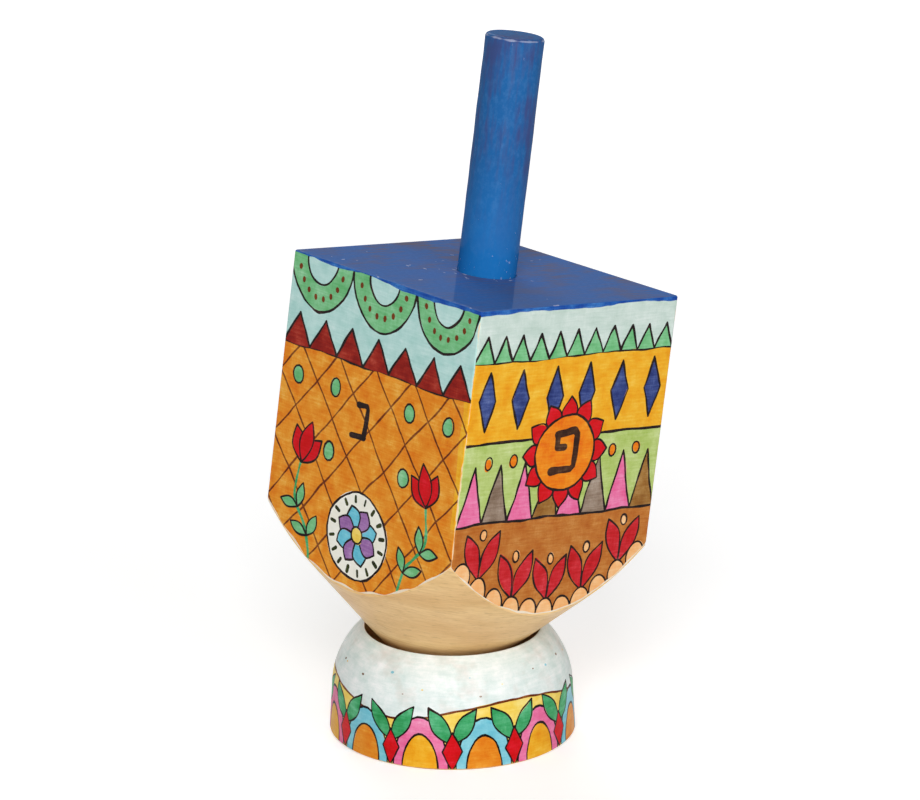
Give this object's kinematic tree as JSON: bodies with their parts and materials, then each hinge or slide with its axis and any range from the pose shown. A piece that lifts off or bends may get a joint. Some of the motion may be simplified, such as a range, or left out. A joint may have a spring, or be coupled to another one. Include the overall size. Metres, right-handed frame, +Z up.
{
  "type": "dreidel on stand",
  "caption": "Painted wooden spinning top with a square block, a turned cone point and a dowel handle, leaning in a small turned cup stand.",
  "frame": {"origin": "centre of the stand's flat base", "axes": "+Z up, +X to the right and +Y away from the viewer of the picture; the dreidel leans 8.5 degrees from upright, towards 38 degrees from +X to +Y"},
  "size_m": [0.0827, 0.0816, 0.144],
  "materials": {
    "painted_stand": "hand painted under satin varnish",
    "painted_wood": "hand painted faces over bare beech, satin varnish",
    "blue_paint": "blue paint under satin varnish"
  },
  "bodies": {
    "stand": {"stand": "painted_stand"},
    "dreidel": {"block": "painted_wood", "handle": "blue_paint"}
  },
  "joints": [
    {"name": "spin", "type": "hinge", "parent": "stand", "child": "dreidel", "pos_m": [-0.00354, -0.00276, 0.00679], "axis": [0.1165, 0.091, 0.989], "continuous": true}
  ]
}
